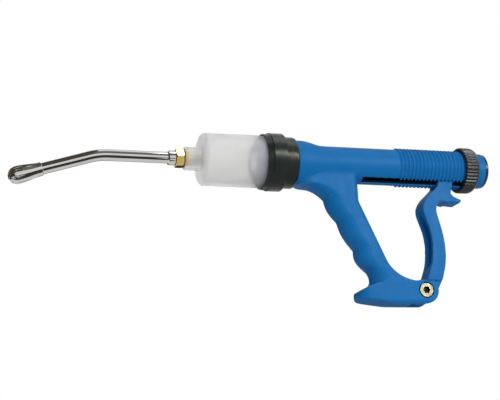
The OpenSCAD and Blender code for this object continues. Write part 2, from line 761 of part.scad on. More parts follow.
module foot() {
    side = foot_w / 2;
    intersection() {
        plate_y(foot_w) foot_profile();
        translate([-toe_x - cut, 0, 0]) rotate([90, 0, 90])
            linear_extrude(toe_x + pivot_x + boss_r + 2 * cut) rotate([0, 0, 90])
            rounded_square(0, 4 * boss_r, side, foot_edge_r);
        translate([0, 0, -cut]) linear_extrude(3 * boss_r)
            rounded_square(-toe_x, pivot_x + 3 * boss_r, side, toe_side_r);
    }
}

module body() {
    bore_end = tube_end + body_front + 2 * cut;
    counterbore = pivot_head_h + head_sink + seat_gap;
    color([0.11, 0.37, 0.66]) difference() {
        union() {
            tube_outer();
            grip_loft();
            foot();
        }
        on_axis(-body_front - cut) cylinder(h = bore_end, r = tube_bore_r);
        on_axis(-body_front - cut) cylinder(h = spigot_len + cut, r = spigot_r + seat_gap);
        for (s = [-1, 1]) translate([-slot_front, s > 0 ? slot_strip_w / 2 : -slot_side_y, axis_h - tube_od])
            cube([slot_front + slot_rear, slot_side_y - slot_strip_w / 2, tube_od - slot_top_drop]);
        translate([clevis_x, -clevis_w / 2, -cut]) cube([4 * boss_r, clevis_w, 3 * boss_r]);
        pin_y(pivot_x, boss_r, pivot_d / 2 + seat_gap, -foot_w, foot_w);
        for (s = [-1, 1])
            pin_y(pivot_x, boss_r, pivot_head_d / 2 + head_room,
                s > 0 ? foot_w / 2 - counterbore : -foot_w, s > 0 ? foot_w : -foot_w / 2 + counterbore);
    }
}

// Return spring and the washer that it bears on

module spring_washer() {
    color("silver") ring_x(spigot_end_x, spring_front_x, tube_bore_r - seat_gap, rod_r + move_gap);
}

module return_spring() {
    clear = spring_wire / 2 + coil_rest;
    color([0.22, 0.22, 0.23])
        coil(spring_front_x + clear, crosshead_front_x - clear, spring_r, spring_turns, spring_wire);
}

// Plunger: piston, inlet valve, hollow rod, crosshead and hose tail

module piston() {
    color([0.45, 0.5, 0.56]) difference() {
        revolve_x([[0, piston_front_x], [piston_r - piston_bevel, piston_front_x],
            [piston_r, piston_front_x + piston_bevel], [piston_r, piston_rear_x], [0, piston_rear_x]]);
        for (x = seal_x) ring_x(x, x + seal_w, piston_r + cut, seal_r - seal_depth);
        on_axis(piston_front_x - cut) cylinder(h = cage_t + cut, r = cage_r);
        on_axis(piston_front_x) cylinder(h = cage_t + chamber_len, r = inlet_ball_r + chamber_gap);
        on_axis(piston_front_x) cylinder(h = piston_len, r = inlet_hole_r);
        on_axis(rod_front_x) cylinder(h = piston_rear_x - rod_front_x + cut, r = rod_r);
    }
}

module piston_seals() {
    color([0.15, 0.15, 0.16]) for (x = seal_x)
        revolve_x([[seal_r - seal_depth, x], [seal_r - seal_lip, x], [seal_r, x + seal_lip],
            [seal_r, x + seal_w - seal_lip], [seal_r - seal_lip, x + seal_w],
            [seal_r - seal_depth, x + seal_w]]);
}

module valve_cage() {
    ports = 4;
    color("whitesmoke") difference() {
        ring_x(piston_front_x, piston_front_x + cage_t, cage_r - seat_gap / 2, cage_hole_r);
        for (i = [0 : ports - 1]) rotate_about_axis(360 / ports * i)
            translate([piston_front_x - cut, 0, axis_h + cage_port_ring]) rotate([0, 90, 0])
                cylinder(h = cage_t + 2 * cut, r = cage_port_r);
    }
}

module inlet_valve() {
    color("gainsboro") translate([inlet_ball_x, 0, axis_h]) sphere(r = inlet_ball_r);
}

module plunger_rod() {
    color("silver") ring_x(rod_front_x, rod_rear_x, rod_r, rod_r - rod_wall);
}

module crosshead() {
    web_y = crosshead_web / 2;
    color([0.1, 0.1, 0.1]) difference() {
        union() {
            difference() {
                ring_x(crosshead_front_x, crosshead_rear_x, crosshead_r);
                for (s = [-1, 1]) translate([trunnion_x, s * (web_y + crosshead_r / 2), axis_h])
                    plate_y(crosshead_r) polygon([[-prong_room_fore, prong_room_top],
                        [prong_room_aft, prong_room_top], [prong_room_aft - prong_room_rake, -tube_r],
                        [-prong_room_fore - prong_room_sweep, -tube_r]]);
            }
            pin_y(trunnion_x, axis_h, trunnion_d / 2, -lever_w / 2, lever_w / 2);
        }
        on_axis(crosshead_front_x - cut)
            cylinder(h = crosshead_rear_x - crosshead_front_x + 2 * cut, r = flow_r);
        on_axis(crosshead_front_x - cut) cylinder(h = rod_socket + cut, r = rod_r);
        on_axis(tail_front_x) cylinder(h = tail_seat + cut, r = tail_d / 2);
    }
}

module hose_tail() {
    r = tail_d / 2;
    barb_x = tail_rear_x - tail_barb_len;
    color("goldenrod") revolve_x([[flow_r, tail_front_x], [r, tail_front_x], [r, barb_x],
        [r + tail_barb_h, barb_x + tail_barb_rise], [r - tail_barb_rise, tail_rear_x],
        [flow_r, tail_rear_x]]);
}

// Lever with its tongue, front channel, thumb spur and fork

lever_steps = 4;
// A point of the lever's outline, from shares of its depth and of its reach to the trunnions
function lever_point(p) = [p[0] * lever_depth, p[1] * trunnion_reach];
lever_front = [for (p = curve([[-0.416, 0.845], [-0.743, 0.774], [-1.064, 0.709], [-1.193, 0.649],
    [-1.131, 0.601], [-0.814, 0.541], [-0.446, 0.477], [-0.15, 0.401], [0.046, 0.316], [0.146, 0.228],
    [0.114, 0.151], [0.052, 0.083]], lever_steps)) lever_point(p)];
// The stretch of that edge in which the channel is open
channel_first = 3.5 * lever_steps;
channel_last = 9.5 * lever_steps;

// Places 2D children in a frame that turns with the lever, with Y along the lever at rest
module lever_frame() {
    translate([pivot_x, boss_r]) rotate(-rest_tilt) children();
}

module lever_profile() {
    back = curve([[0.912, 0.042], [1.042, 0.107], [1.081, 0.174], [1.065, 0.25], [0.956, 0.327],
        [0.728, 0.411], [0.421, 0.492], [0.089, 0.561], [-0.2, 0.624], [-0.27, 0.664]], lever_steps);
    root = curve([[-0.24, 0.69], [-0.1, 0.716], [0.299, 0.731]], lever_steps);
    spur = [[1.284, 0.756], [1.31, 0.78]];
    crotch = curve([[0.776, 0.785], [0.433, 0.811], [0.285, 0.863]], lever_steps);
    lever_frame() polygon(concat(lever_front, [[0, 0]],
        [for (p = concat(back, root, spur, crotch)) lever_point(p)]));
}

module lever_channel() {
    span = channel_last - channel_first;
    lever_frame() polygon(concat(
        [for (i = [channel_first : channel_last]) lever_front[i] - [2 * cut, 0]],
        [for (i = [span : -1 : 0])
            lever_front[channel_first + i] + [channel_depth * sin(180 * i / span), 0]]));
}

// All that lies under the lever's shoulders, over the foot's cheeks
module shoulder_cut() {
    reach = 3 * boss_r;
    shoulder_z = foot_top + tongue_gap;
    polygon([[pivot_x + reach, shoulder_z], [pivot_x, shoulder_z],
        [pivot_x - reach, shoulder_z + reach * tan(shoulder_rise)], [pivot_x - reach, -reach],
        [pivot_x + reach, -reach]]);
}

module lever() {
    head_lap = 8;
    color([0.11, 0.37, 0.66]) difference() {
        union() {
            plate_y(lever_w) difference() {
                union() {
                    lever_profile();
                    lever_frame() translate([-prong_len / 2, head_reach - head_lap])
                        square([prong_len, prong_top - head_reach + head_lap]);
                }
                shoulder_cut();
            }
            plate_y(tongue_w) {
                intersection() {
                    lever_profile();
                    translate([pivot_x, boss_r]) circle(r = boss_r + tongue_lap);
                }
                translate([pivot_x, boss_r]) circle(r = tongue_r);
            }
        }
        pin_y(pivot_x, boss_r, pivot_d / 2 + run_gap, -lever_w, lever_w);
        plate_y(prong_gap) difference() {
            lever_frame() translate([-lever_rise / 2, 0]) square([lever_rise, 2 * lever_rise]);
            translate([pivot_x, boss_r]) circle(r = head_reach);
        }
        plate_y(2 * lever_w) lever_frame() translate([-notch_w / 2, notch_floor + notch_w / 2]) {
            square([notch_w, lever_rise]);
            translate([notch_w / 2, 0]) circle(r = notch_w / 2);
        }
        plate_y(channel_w) lever_channel();
    }
}

// Pivot screw and its sleeve nut

module pivot_screw() {
    head_y = -foot_w / 2 + head_sink;
    color("goldenrod") difference() {
        union() {
            pin_y(pivot_x, boss_r, pivot_head_d / 2, head_y, head_y + pivot_head_h);
            pin_y(pivot_x, boss_r, pivot_d / 2, head_y, foot_w / 2 - screw_end_gap);
        }
        translate([pivot_x, head_y - cut, boss_r]) rotate([-90, 0, 0])
            cylinder(h = socket_depth + cut, r = pivot_socket / 2 / cos(30), $fn = 6);
    }
}

module pivot_nut() {
    head_y = foot_w / 2 - head_sink;
    color("goldenrod") difference() {
        pin_y(pivot_x, boss_r, pivot_head_d / 2, head_y - pivot_head_h, head_y);
        pin_y(pivot_x, boss_r, pivot_d / 2, 0, foot_w / 2 - screw_end_gap);
        translate([pivot_x - pivot_head_d, head_y - driver_slot_depth, boss_r - driver_slot_w / 2])
            cube([2 * pivot_head_d, driver_slot_depth + cut, driver_slot_w]);
    }
}

// Dose nut on the tube's thread, its washer, and the end cap

module dose_nut() {
    rear_x = nut_x + nut_len;
    round_x = 4.5;
    round_r = 3;
    nut_bevel = 0.8;
    core_r = nut_r - nut_rib_r;
    envelope = [for (a = [0 : 15 : 90])
        [nut_r - round_r * (1 - cos(a)), rear_x - round_x + round_x * sin(a)]];
    color([0.1, 0.1, 0.11]) difference() {
        intersection() {
            union() {
                ring_x(nut_x, rear_x, core_r);
                for (i = [0 : nut_ribs - 1]) rotate_about_axis(360 / nut_ribs * i)
                    translate([nut_x, 0, axis_h + core_r]) rotate([0, 90, 0])
                        cylinder(h = nut_len, r = nut_rib_r);
            }
            revolve_x(concat([[0, nut_x], [nut_r - nut_bevel, nut_x], [nut_r, nut_x + nut_bevel]], envelope,
                [[0, rear_x]]));
        }
        on_axis(nut_x - cut) cylinder(h = nut_len + 2 * cut, r = nut_bore_r);
        on_axis(nut_x - cut) cylinder(h = washer_t + seat_gap + cut, r = washer_r + seat_gap);
    }
}

module dose_washer() {
    key_y0 = slot_strip_w / 2 + move_gap;
    key_w = slot_side_y - move_gap - key_y0;
    color([0.1, 0.1, 0.11]) union() {
        ring_x(nut_x, nut_x + washer_t, washer_r, nut_bore_r);
        intersection() {
            ring_x(nut_x, nut_x + washer_t, washer_r, tube_bore_r + move_gap);
            for (s = [-1, 1]) translate([nut_x, s > 0 ? key_y0 : -key_y0 - key_w, axis_h - tube_od])
                cube([washer_t, key_w, tube_od]);
        }
    }
}

module end_cap() {
    color([0.1, 0.1, 0.11]) difference() {
        union() {
            ring_x(tube_end - cap_plug, tube_end, cap_plug_r);
            revolve_x([[0, tube_end], [cap_d / 2, tube_end], [cap_d / 2, tube_end + cap_t - cap_bevel],
                [cap_d / 2 - cap_bevel, tube_end + cap_t], [0, tube_end + cap_t]]);
        }
        on_axis(tube_end - cap_plug - cut) cylinder(h = cap_plug + cap_t + 2 * cut, r = hose_bore / 2);
    }
}

nozzle_tip();
nozzle_tube();
nozzle_collar();
nozzle_adaptor();
adaptor_washer();
barrel();
outlet_valve();
outlet_spring();
coupling_ring();
barrel_gasket();
barrel_seat();
rod_guide();
body();
spring_washer();
return_spring();
piston();
piston_seals();
valve_cage();
inlet_valve();
plunger_rod();
crosshead();
hose_tail();
lever();
pivot_screw();
pivot_nut();
dose_nut();
dose_washer();
end_cap();
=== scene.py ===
import json
import math

import bmesh
import bpy
from mathutils import Matrix, Vector


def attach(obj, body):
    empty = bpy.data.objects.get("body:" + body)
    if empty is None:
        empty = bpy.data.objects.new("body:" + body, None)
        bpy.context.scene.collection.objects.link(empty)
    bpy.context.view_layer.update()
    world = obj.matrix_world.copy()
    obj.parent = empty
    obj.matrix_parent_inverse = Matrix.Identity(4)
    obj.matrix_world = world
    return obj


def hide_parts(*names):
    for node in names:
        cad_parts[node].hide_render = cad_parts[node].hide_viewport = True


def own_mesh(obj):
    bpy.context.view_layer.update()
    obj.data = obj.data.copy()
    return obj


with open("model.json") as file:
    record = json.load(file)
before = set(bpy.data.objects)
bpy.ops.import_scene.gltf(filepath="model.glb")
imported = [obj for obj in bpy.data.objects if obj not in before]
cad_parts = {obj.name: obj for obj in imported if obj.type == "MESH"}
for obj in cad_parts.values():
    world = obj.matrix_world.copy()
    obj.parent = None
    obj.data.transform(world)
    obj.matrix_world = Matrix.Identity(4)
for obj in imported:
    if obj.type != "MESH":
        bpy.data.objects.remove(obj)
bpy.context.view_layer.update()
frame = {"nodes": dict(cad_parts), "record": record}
nodes = frame["nodes"]
scene = bpy.context.scene

# Camera, fitted to the photo: pixels, millimetres of sensor, angles and metres
IMAGE_W = 500
FOCAL_PX = 1141.8
SENSOR_W = 36.0
AZIMUTH = math.radians(17)
ELEVATION = math.radians(15)
ROLL = math.radians(-2.518)
TARGET = Vector((-0.108, 0, 0.07842))
DISTANCE = 0.85
CLIP_START = 0.01
CLIP_END = 20

# Sizes of the part in metres, in its own frame
AXIS_H = 0.1085
TUBE_BORE_R = 0.0112
# Radius about the barrel's axis within which the blue body gets painted shade
BORE_SHADE_R = 0.0137
SLOT_FRONT_X = -0.0196
SLOT_REAR_X = 0.0741
STRIP_W = 0.0062
STRIP_INNER_R = 0.0134
STRIP_INNER_SHARE = 0.75
SCREW_FACE_Y = -0.0111
TOE_BOX = ((-0.040, -0.020, 0.0004), (0.006, 0.020, 0.024))
NOZZLE_BEND = math.radians(-17)
HEXAGON_TURN = math.radians(12.5)

# Remeshing of the moulded pieces, lengths in metres
WELD = 2e-6
SMOOTH_STEP = 0.5
TOE_ROUNDS = 24
TOE_EDGE = 0.004
STRIP_SLACK_R = 0.0002
STRIP_SLACK_Y = 0.0001

# Texture scales, per metre
CLOUD_SCALE = 70
SINK_SCALE = 45
SCUFF_SCALE = 160
GRAIN_SCALE = 2600
SMUDGE_SCALE = 130
TOOL_MARK_SCALE = 900
POLISH_SCALE = 420
SCREW_SMUDGE_SCALE = 500
SCREW_GRAIN_SCALE = 2200
FROST_CLOUD_SCALE = 40
FROST_SKIN_SCALE = 300
FROST_ROUGH_SCALE = 120
RUBBER_CLOUD_SCALE = 220
RUBBER_GRAIN_SCALE = 1800

# Directions of tool marks: how far a texture is drawn out along X, Y and Z
EVEN = (1, 1, 1)
UPRIGHT = (1, 1, 3)
ALONG_X = (50, 1, 1)
ACROSS_X = (1, 20, 20)

# Bump heights and depths over which a look changes, in metres
SINK_DEPTH = 0.0006
GRAIN_DEPTH = 0.00005
FINE_DEPTH = 0.00004
POLISH_DEPTH = 0.001
# Width over which the painted shade inside the bore fades out
BORE_SHADE_BLUR = 0.0003
SOCKET_START = 0.0002
SOCKET_END = 0.0007

# Moulded plastic: ranges of pointiness, and factors on the colour for worn edges, painted shade in grooves
# and painted shade inside the bore
EDGE_RANGE = (0.52, 0.62)
GROOVE_RANGE = (0.49, 0.40)
CLOUD_SHARE = 0.35
EDGE_GAIN = 1.35
EDGE_LIFT = 0.01
GROOVE_SHADE = 0.45
BORE_PAINTED_SHADE = 0.05
SCUFF_LOW = -0.06
SCUFF_HIGH = 0.09

# Colours and finishes
BLUE = ((0.005, 0.136, 0.398), (0.012, 0.166, 0.446))
BLUE_ROUGH = 0.46
BLUE_GLOSS = 0.06
CHROME = ((0.64, 0.63, 0.61), (0.56, 0.54, 0.51))
CHROME_ROUGH = (0.03, 0.08)
CHROME_MARKS = 0.006
TIP_POLISH = 0.8
SMUDGE_SHARE = 0.6
# Colour of the painted shade inside the screw's socket
SOCKET_PAINTED_SHADE = (0.012, 0.010, 0.008)
SCREW_ROUGH = (0.42, 0.58)
FROST_ROUGH = (0.42, 0.52)
RUBBER_WEAR = 1.8

# Floor, in metres and strengths
FLOOR_REACH = 6.0
FLOOR_LEVEL = -0.0006
FLOOR_COLOUR = (0.86, 0.86, 0.86, 1)
FLOOR_CENTRE = (-0.1, 0, 0)
FLOOR_FADE = (0.35, 1.10)
FLOOR_SHARE = (0.15, 1.0)
FLOOR_SEEN = 1.0
FLOOR_DIFFUSE = 0.74
FLOOR_GLOSSY = 0.85

# Reflection cards, in metres
CARD_FRONT_Y = -0.6
CARD_BEHIND_Y = 0.25
CARD_REAR_Y = 1.0
CARD_LEFT_X = -1.2
CARD_ROOF_Z = 1.8
CARD_LOW_Z = 0.0005
CARD_FOOT_Z = -0.0003

# Lamps and world
LAMP_AIM = (-0.08, 0, 0.08)
FILL_COLOUR = (0.92, 0.96, 1.0, 1)
FILL_STRENGTH = 0.30
BACKGROUND_COLOUR = (1, 1, 1, 1)
BACKGROUND_STRENGTH = 1.0


# Camera

def place_camera():
    """The photo's view: from below the barrel axis, turned towards the nozzle, with a slight roll."""
    back = Vector((-math.sin(AZIMUTH) * math.cos(ELEVATION), -math.cos(AZIMUTH) * math.cos(ELEVATION),
                   -math.sin(ELEVATION)))
    level = Vector((math.cos(AZIMUTH), -math.sin(AZIMUTH), 0))
    upright = back.cross(level)
    right = math.cos(ROLL) * level + math.sin(ROLL) * upright
    up = -math.sin(ROLL) * level + math.cos(ROLL) * upright
    data = bpy.data.cameras.new("camera")
    data.sensor_fit = "HORIZONTAL"
    data.sensor_width = SENSOR_W
    data.lens = FOCAL_PX * SENSOR_W / IMAGE_W
    data.clip_start = CLIP_START
    data.clip_end = CLIP_END
    camera = bpy.data.objects.new("camera", data)
    scene.collection.objects.link(camera)
    turn = Matrix((right, up, back)).transposed().to_4x4()
    camera.matrix_world = Matrix.Translation(TARGET + DISTANCE * back) @ turn
    scene.camera = camera


# Materials

class Look:
    """A node material whose textures lie in the piece's own metres."""

    def __init__(self, name):
        self.mat = bpy.data.materials.new(name)
        self.mat.use_nodes = True
        self.tree = self.mat.node_tree
        self.shader = self.tree.nodes["Principled BSDF"]
        self.coord = self.tree.nodes.new("ShaderNodeTexCoord").outputs["Object"]

    def node(self, kind, **inputs):
        made = self.tree.nodes.new(kind)
        for name, value in inputs.items():
            self.put(made.inputs[name.replace("_", " ")], value)
        return made

    def put(self, socket, value):
        """Links a socket, or sets a plain value."""
        if isinstance(value, bpy.types.NodeSocket):
            self.tree.links.new(value, socket)
        else:
            socket.default_value = value

    def noise(self, scale, detail, length=EVEN, turn=0.0):
        """Noise drawn out along the axes by length, after a turn about Y."""
        mapping = self.node("ShaderNodeMapping", Vector=self.coord, Scale=length, Rotation=(0, turn, 0))
        mapping.vector_type = "TEXTURE"
        made = self.node("ShaderNodeTexNoise", Vector=mapping.outputs["Vector"], Scale=scale, Detail=detail)
        return made.outputs["Fac"]

    def span(self, value, low, high, start=0.3, end=0.7):
        """Maps the range from start to end, a texture's middle range unless given, to low to high."""
        made = self.node("ShaderNodeMapRange", Value=value)
        for name, number in (("From Min", start), ("From Max", end), ("To Min", low), ("To Max", high)):
            made.inputs[name].default_value = number
        return made.outputs["Result"]

    def mix(self, factor, first, second):
        """Mixes two colours; the numbered sockets are the mix node's colour ones."""
        made = self.tree.nodes.new("ShaderNodeMix")
        made.data_type = "RGBA"
        self.put(made.inputs[0], factor)
        for socket, colour in ((made.inputs[6], first), (made.inputs[7], second)):
            self.put(socket, colour if isinstance(colour, bpy.types.NodeSocket) else (*colour, 1))
        return made.outputs[2]

    def edges(self, start, end):
        """From 0 on flat faces to 1 along outer edges, or along grooves where end is below start."""
        point = self.tree.nodes.new("ShaderNodeNewGeometry").outputs["Pointiness"]
        return self.span(point, 0.0, 1.0, start, end)

    def within(self, radius):
        """From 0 outside to 1 inside a round bore on the barrel's axis."""
        flat = self.node("ShaderNodeMapping", Vector=self.coord, Location=(0, 0, -AXIS_H), Scale=(0, 1, 1))
        length = self.node("ShaderNodeVectorMath")
        length.operation = "LENGTH"
        self.put(length.inputs[0], flat.outputs["Vector"])
        return self.span(length.outputs["Value"], 1.0, 0.0, radius - BORE_SHADE_BLUR, radius)

    def bump(self, height, distance, strength, below=None):
        made = self.node("ShaderNodeBump", Height=height, Distance=distance, Strength=strength)
        if below is not None:
            self.put(made.inputs["Normal"], below)
        return made.outputs["Normal"]

    def set(self, **inputs):
        for name, value in inputs.items():
            self.put(self.shader.inputs[name.replace("_", " ")], value)
        return self


def moulded(name, colour, pale, rough, grain=0.25, gloss=0.3, bore=None):
    """Satin moulded plastic: cloudy, with paler worn edges, painted shade in grooves, fine grain, faint sink
    marks and, where a bore is given, painted shade inside it.
    """
    look = Look(name)
    cloud = look.span(look.noise(CLOUD_SCALE, detail=4), 0.0, CLOUD_SHARE)
    base = look.mix(cloud, colour, pale)
    base = look.mix(look.edges(*EDGE_RANGE), base, [min(1.0, c * EDGE_GAIN + EDGE_LIFT) for c in colour])
    # Painted shade in grooves and creases: concave areas are darkened as if shaded
    base = look.mix(look.edges(*GROOVE_RANGE), base, [c * GROOVE_SHADE for c in colour])
    # Painted shade: the inside of the tube's bore is darkened to look shaded
    if bore is not None:
        base = look.mix(look.within(bore), base, [c * BORE_PAINTED_SHADE for c in colour])
    sink = look.bump(look.noise(SINK_SCALE, detail=2), SINK_DEPTH, strength=0.12)
    skin = look.bump(look.noise(GRAIN_SCALE, detail=2), GRAIN_DEPTH, grain, sink)
    scuff = look.noise(SCUFF_SCALE, detail=5, length=UPRIGHT)
    scuff = look.span(scuff, rough + SCUFF_LOW, rough + SCUFF_HIGH)
    return look.set(Base_Color=base, Roughness=scuff, Normal=skin, Specular_IOR_Level=gloss).mat


def metal(name, colour, tint, rough, length, brushed, drawn=0.0, turn=0.0):
    """Bare metal with tool marks along one direction, smudges and, where drawn, wider lines of polish."""
    look = Look(name)
    marks = look.noise(TOOL_MARK_SCALE, detail=3, length=length, turn=turn)
    smudge = look.noise(SMUDGE_SCALE, detail=4)
    base = look.mix(look.span(smudge, 0.0, SMUDGE_SHARE), colour, tint)
    lines = look.noise(POLISH_SCALE, detail=1, length=length, turn=turn)
    lines = look.bump(lines, POLISH_DEPTH, drawn)
    skin = look.bump(marks, FINE_DEPTH, brushed, lines)
    return look.set(Base_Color=base, Metallic=1.0, Roughness=look.span(smudge, *rough), Normal=skin).mat


def socket_screw(name, colour, tint):
    """Dull brass with painted shade in the socket: everything below the head's face is dark."""
    look = Look(name)
    smudge = look.noise(SCREW_SMUDGE_SCALE, detail=4)
    depth = look.node("ShaderNodeSeparateXYZ", Vector=look.coord).outputs["Y"]
    sunk = look.span(depth, 0.0, 1.0, SCREW_FACE_Y + SOCKET_START, SCREW_FACE_Y + SOCKET_END)
    base = look.mix(sunk, look.mix(look.span(smudge, 0.0, 1.0), colour, tint), SOCKET_PAINTED_SHADE)
    skin = look.bump(look.noise(SCREW_GRAIN_SCALE, detail=2), FINE_DEPTH, strength=0.2)
    rough = look.span(smudge, *SCREW_ROUGH)
    return look.set(Base_Color=base, Metallic=1.0, Roughness=rough, Normal=skin).mat


def frosted(name, colour, pale):
    """Milky translucent plastic."""
    look = Look(name)
    base = look.mix(look.span(look.noise(FROST_CLOUD_SCALE, detail=3), 0.0, 1.0), colour, pale)
    rough = look.span(look.noise(FROST_ROUGH_SCALE, detail=3), *FROST_ROUGH)
    skin = look.bump(look.noise(FROST_SKIN_SCALE, detail=2), FINE_DEPTH, strength=0.1)
    return look.set(Base_Color=base, Roughness=rough, Normal=skin, Transmission_Weight=0.35, IOR=1.3,
                    Alpha=0.5, Specular_IOR_Level=0.4, Subsurface_Weight=0.9, Subsurface_Radius=EVEN,
                    Subsurface_Scale=0.03).mat


def rubber(name, colour):
    """Dull seal rubber."""
    look = Look(name)
    worn = [c * RUBBER_WEAR for c in colour]
    base = look.mix(look.span(look.noise(RUBBER_CLOUD_SCALE, detail=3), 0.0, 1.0), colour, worn)
    skin = look.bump(look.noise(RUBBER_GRAIN_SCALE, detail=2), FINE_DEPTH, strength=0.2)
    return look.set(Base_Color=base, Roughness=0.7, Normal=skin).mat


# Pieces

def dress(piece, mat):
    piece.data.materials.clear()
    piece.data.materials.append(mat)


def stand_in(piece, node, body, mat):
    """Shows a piece instead of a CAD node, on the node's body."""
    dress(piece, mat)
    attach(piece, body)
    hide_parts(node)


def settle(piece):
    """Applies the piece's modifiers."""
    bpy.context.view_layer.update()
    shaped = piece.evaluated_get(bpy.context.evaluated_depsgraph_get())
    mesh = bpy.data.meshes.new_from_object(shaped)
    piece.modifiers.clear()
    piece.data = mesh


def smooth(piece, rounds, group=""):
    modifier = piece.modifiers.new("smooth", "SMOOTH")
    modifier.vertex_group = group
    modifier.factor = SMOOTH_STEP
    modifier.iterations = rounds
    settle(piece)


def round_off(piece, box, rounds):
    """Rounds the edges further inside a box, less so near the box's sides."""
    low, high = box
    group = piece.vertex_groups.new(name="soft")
    for vert in piece.data.vertices:
        depth = min(min(c - a, b - c) for a, c, b in zip(low, vert.co, high))
        if depth > 0:
            group.add([vert.index], min(1.0, depth / TOE_EDGE), "REPLACE")
    smooth(piece, rounds, group.name)


def bevel_strip(mesh):
    """Bevels the strip between the lever slots from inside, so that its edges are as thin as in the photo."""
    for vert in mesh.vertices:
        x, y, z = vert.co
        inside = math.hypot(y, z - AXIS_H) < TUBE_BORE_R + STRIP_SLACK_R and z < AXIS_H
        if inside and abs(y) < STRIP_W / 2 + STRIP_SLACK_Y and SLOT_FRONT_X <= x <= SLOT_REAR_X:
            vert.co.y = y * STRIP_INNER_SHARE
            vert.co.z = AXIS_H - STRIP_INNER_R


def softened(name, node, voxel, rounds, triangles, trim=None, soft_box=None):
    """A copy of a CAD node's form with moulded, rounded edges, made by a fine remesh and smoothing."""
    mesh = nodes[node].data.copy()
    work = bmesh.new()
    work.from_mesh(mesh)
    bmesh.ops.remove_doubles(work, verts=work.verts, dist=WELD)
    work.to_mesh(mesh)
    work.free()
    if trim is not None:
        trim(mesh)
    piece = bpy.data.objects.new(name, mesh)
    scene.collection.objects.link(piece)
    remesh = piece.modifiers.new("remesh", "REMESH")
    remesh.mode = "VOXEL"
    remesh.voxel_size = voxel
    smooth(piece, rounds)
    if soft_box is not None:
        round_off(piece, soft_box, TOE_ROUNDS)
    thin = piece.modifiers.new("thin", "DECIMATE")
    made_triangles = 2 * len(piece.data.polygons)
    thin.ratio = min(1.0, triangles / made_triangles)
    settle(piece)
    piece.data.shade_smooth()
    return piece


def turned(name, node, angle):
    """A copy of a CAD node, turned on the barrel's axis."""
    piece = bpy.data.objects.new(name, nodes[node].data.copy())
    scene.collection.objects.link(piece)
    centre = Matrix.Translation((0, 0, AXIS_H))
    piece.data.transform(centre @ Matrix.Rotation(angle, 4, "X") @ centre.inverted())
    return piece


def spring(name, node, mat):
    """A smooth coil in place of a CAD spring, fixed to the frame."""
    piece = turned(name, node, 0.0)
    piece.data.shade_smooth()
    stand_in(piece, node, "frame", mat)
    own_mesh(piece)


# Stage

def plane(name, corners, mat):
    mesh = bpy.data.meshes.new(name)
    mesh.from_pydata(corners, [], [(0, 1, 2, 3)])
    mesh.materials.append(mat)
    made = bpy.data.objects.new(name, mesh)
    scene.collection.objects.link(made)
    return made


def maths(tree, operation, first, second):
    made = tree.nodes.new("ShaderNodeMath")
    made.operation = operation
    tree.links.new(first, made.inputs[0])
    tree.links.new(second, made.inputs[1])
    return made.outputs[0]


def mix_shaders(tree, share, first, second):
    made = tree.nodes.new("ShaderNodeMixShader")
    for socket, value in zip(made.inputs, (share, first, second)):
        tree.links.new(value, socket)
    return made.outputs[0]


def away_share(tree):
    """The share of white on the floor, which grows with the distance from the object."""
    away = tree.nodes.new("ShaderNodeVectorMath")
    away.operation = "DISTANCE"
    away.inputs[1].default_value = FLOOR_CENTRE
    tree.links.new(tree.nodes.new("ShaderNodeTexCoord").outputs["Object"], away.inputs[0])
    fade = tree.nodes.new("ShaderNodeMapRange")
    fade.interpolation_type = "SMOOTHSTEP"
    for name, number in zip(("From Min", "From Max", "To Min", "To Max"), FLOOR_FADE + FLOOR_SHARE):
        fade.inputs[name].default_value = number
    tree.links.new(away.outputs["Value"], fade.inputs["Value"])
    return fade.outputs["Result"]


def floor_material():
    """Pale and matt from above, fading to white away from the object, and open from below for the camera."""
    mat = bpy.data.materials.new("floor")
    mat.use_nodes = True
    tree = mat.node_tree
    shader = tree.nodes["Principled BSDF"]
    shader.inputs["Base Color"].default_value = FLOOR_COLOUR
    shader.inputs["Roughness"].default_value = 0.9
    shader.inputs["Specular IOR Level"].default_value = 0.1
    rays = tree.nodes.new("ShaderNodeLightPath").outputs
    seen = maths(tree, "MULTIPLY", away_share(tree), rays["Is Camera Ray"])
    surface = shader.outputs[0]
    for share, strength in ((seen, FLOOR_SEEN), (rays["Is Diffuse Ray"], FLOOR_DIFFUSE),
                            (rays["Is Glossy Ray"], FLOOR_GLOSSY)):
        glow = tree.nodes.new("ShaderNodeEmission")
        glow.inputs["Strength"].default_value = strength
        surface = mix_shaders(tree, share, surface, glow.outputs[0])
    below = tree.nodes.new("ShaderNodeNewGeometry").outputs["Backfacing"]
    clear = tree.nodes.new("ShaderNodeBsdfTransparent").outputs[0]
    surface = mix_shaders(tree, below, surface, clear)
    tree.links.new(surface, tree.nodes["Material Output"].inputs["Surface"])
    return mat


def make_floor():
    far = FLOOR_REACH
    flat_corners = ((-far, -far), (far, -far), (far, far), (-far, far))
    plane("floor", [(x, y, FLOOR_LEVEL) for x, y in flat_corners], floor_material())


def card_material(name, colour, strength):
    """An even card for reflections, from near black to brighter than white."""
    mat = bpy.data.materials.new(name)
    mat.use_nodes = True
    shader = mat.node_tree.nodes["Principled BSDF"]
    shader.inputs["Base Color"].default_value = (0, 0, 0, 1)
    shader.inputs["Specular IOR Level"].default_value = 0.0
    shader.inputs["Emission Color"].default_value = (*colour, 1)
    shader.inputs["Emission Strength"].default_value = strength
    return mat


def card(name, corners, mat):
    """A studio card that only reflections see."""
    made = plane(name, corners, mat)
    for ray in ("camera", "diffuse", "transmission", "volume_scatter", "shadow"):
        setattr(made, f"visible_{ray}", False)


def upright_card(name, y, left, right, low, high, mat, lean=0.0):
    """A card before or behind the object; lean moves its upper right corner."""
    card(name, [(left, y, low), (right, y, low), (right + lean, y, high), (left, y, high)], mat)


def flat_card(name, z, left, right, near, far, mat):
    card(name, [(left, near, z), (right, near, z), (right, far, z), (left, far, z)], mat)


